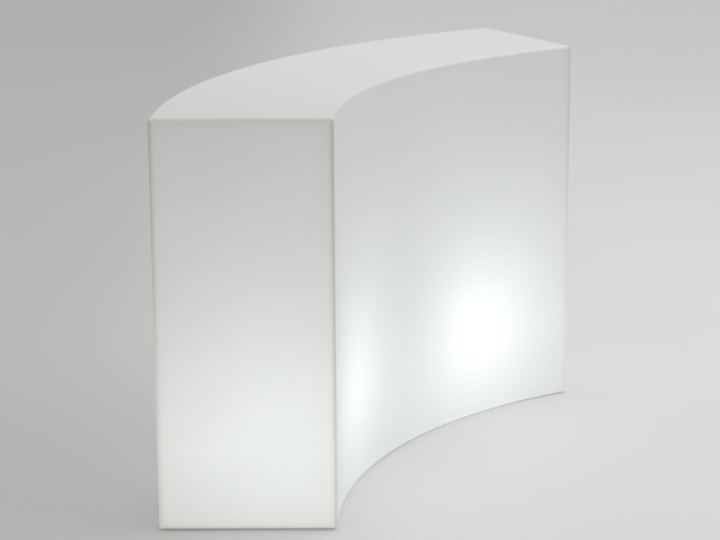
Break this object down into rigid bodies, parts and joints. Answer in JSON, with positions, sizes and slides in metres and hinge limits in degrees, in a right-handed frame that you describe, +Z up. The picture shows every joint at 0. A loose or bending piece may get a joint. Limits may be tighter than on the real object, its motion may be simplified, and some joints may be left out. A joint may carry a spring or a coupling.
{
  "type": "illuminated bar counter",
  "caption": "Curved illuminated bar counter: a hollow translucent moulding, a sector of a ring bar, lit by lamps on hatches in its base and standing on levelling feet.",
  "frame": {"origin": "middle of the footprint's bounding box, on the floor under the feet", "axes": "+Z up; +X along the counter, the long way; +Y towards the outer, convex side; the concave side faces -Y"},
  "size_m": [1.8626, 0.654, 1.1],
  "materials": {
    "shell": "satin translucent",
    "insert": "machined",
    "stud": "zinc plated",
    "pad": "moulded",
    "sole": "matt",
    "hatch": "moulded",
    "gasket": "matt",
    "screw": "stainless",
    "holder": "glazed",
    "cap": "bright",
    "housing": "satin",
    "diffuser": "opal",
    "terminal": "moulded",
    "cable": "matt",
    "clip": "moulded",
    "gland": "moulded",
    "seal": "matt"
  },
  "bodies": {
    "counter": {"counter_shell": "shell", "foot_inserts": "insert", "lamp_hatch_left": "hatch", "lamp_hatch_right": "hatch", "hatch_gasket_left": "gasket", "hatch_gasket_right": "gasket", "hatch_screws_left": "screw", "hatch_screws_right": "screw", "lampholder_bolt_left": "screw", "lampholder_bolt_right": "screw", "lampholder_left": "holder", "lampholder_right": "holder", "bulb_cap_left": "cap", "bulb_cap_right": "cap", "bulb_housing_left": "housing", "bulb_housing_right": "housing", "bulb_diffuser_left": "diffuser", "bulb_diffuser_right": "diffuser", "terminal_block_left": "terminal", "terminal_block_right": "terminal", "lamp_lead_left": "cable", "lamp_lead_right": "cable", "link_cable": "cable", "cable_clips": "clip", "gland_body": "gland", "gland_nut": "gland", "gland_locknut": "gland", "gland_seal": "seal"},
    "foot_left_outer": {"foot_pad_left_outer": "pad", "foot_sole_left_outer": "sole"},
    "stud_left_outer": {"foot_stud_left_outer": "stud"},
    "foot_middle_outer": {"foot_pad_middle_outer": "pad", "foot_sole_middle_outer": "sole"},
    "stud_middle_outer": {"foot_stud_middle_outer": "stud"},
    "foot_right_outer": {"foot_pad_right_outer": "pad", "foot_sole_right_outer": "sole"},
    "stud_right_outer": {"foot_stud_right_outer": "stud"},
    "foot_left_inner": {"foot_pad_left_inner": "pad", "foot_sole_left_inner": "sole"},
    "stud_left_inner": {"foot_stud_left_inner": "stud"},
    "foot_right_inner": {"foot_pad_right_inner": "pad", "foot_sole_right_inner": "sole"},
    "stud_right_inner": {"foot_stud_right_inner": "stud"}
  },
  "joints": [
    {"name": "foot_left_outer_height", "type": "slide", "parent": "counter", "child": "foot_left_outer", "axis": [0, 0, -1], "range_m": [0, 0.014]},
    {"name": "foot_left_outer_turn", "type": "hinge", "parent": "foot_left_outer", "child": "stud_left_outer", "pos_m": [-0.81342, 0.04586, 0.0175], "axis": [0, 0, -1], "range_deg": [0, 3360]},
    {"name": "foot_middle_outer_height", "type": "slide", "parent": "counter", "child": "foot_middle_outer", "axis": [0, 0, -1], "range_m": [0, 0.014]},
    {"name": "foot_middle_outer_turn", "type": "hinge", "parent": "foot_middle_outer", "child": "stud_middle_outer", "pos_m": [0, 0.24197, 0.0175], "axis": [0, 0, -1], "range_deg": [0, 3360]},
    {"name": "foot_right_outer_height", "type": "slide", "parent": "counter", "child": "foot_right_outer", "axis": [0, 0, -1], "range_m": [0, 0.014]},
    {"name": "foot_right_outer_turn", "type": "hinge", "parent": "foot_right_outer", "child": "stud_right_outer", "pos_m": [0.81342, 0.04586, 0.0175], "axis": [0, 0, -1], "range_deg": [0, 3360]},
    {"name": "foot_left_inner_height", "type": "slide", "parent": "counter", "child": "foot_left_inner", "axis": [0, 0, -1], "range_m": [0, 0.014]},
    {"name": "foot_left_inner_turn", "type": "hinge", "parent": "foot_left_inner", "child": "stud_left_inner", "pos_m": [-0.66319, -0.21435, 0.0175], "axis": [0, 0, -1], "range_deg": [0, 3360]},
    {"name": "foot_right_inner_height", "type": "slide", "parent": "counter", "child": "foot_right_inner", "axis": [0, 0, -1], "range_m": [0, 0.014]},
    {"name": "foot_right_inner_turn", "type": "hinge", "parent": "foot_right_inner", "child": "stud_right_inner", "pos_m": [0.66319, -0.21435, 0.0175], "axis": [0, 0, -1], "range_deg": [0, 3360]}
  ],
  "couplings": [
    {"joint": "foot_left_outer_turn", "follows": "foot_left_outer_height", "rad_per_m": 4188.8},
    {"joint": "foot_middle_outer_turn", "follows": "foot_middle_outer_height", "rad_per_m": 4188.8},
    {"joint": "foot_right_outer_turn", "follows": "foot_right_outer_height", "rad_per_m": 4188.8},
    {"joint": "foot_left_inner_turn", "follows": "foot_left_inner_height", "rad_per_m": 4188.8},
    {"joint": "foot_right_inner_turn", "follows": "foot_right_inner_height", "rad_per_m": 4188.8}
  ]
}
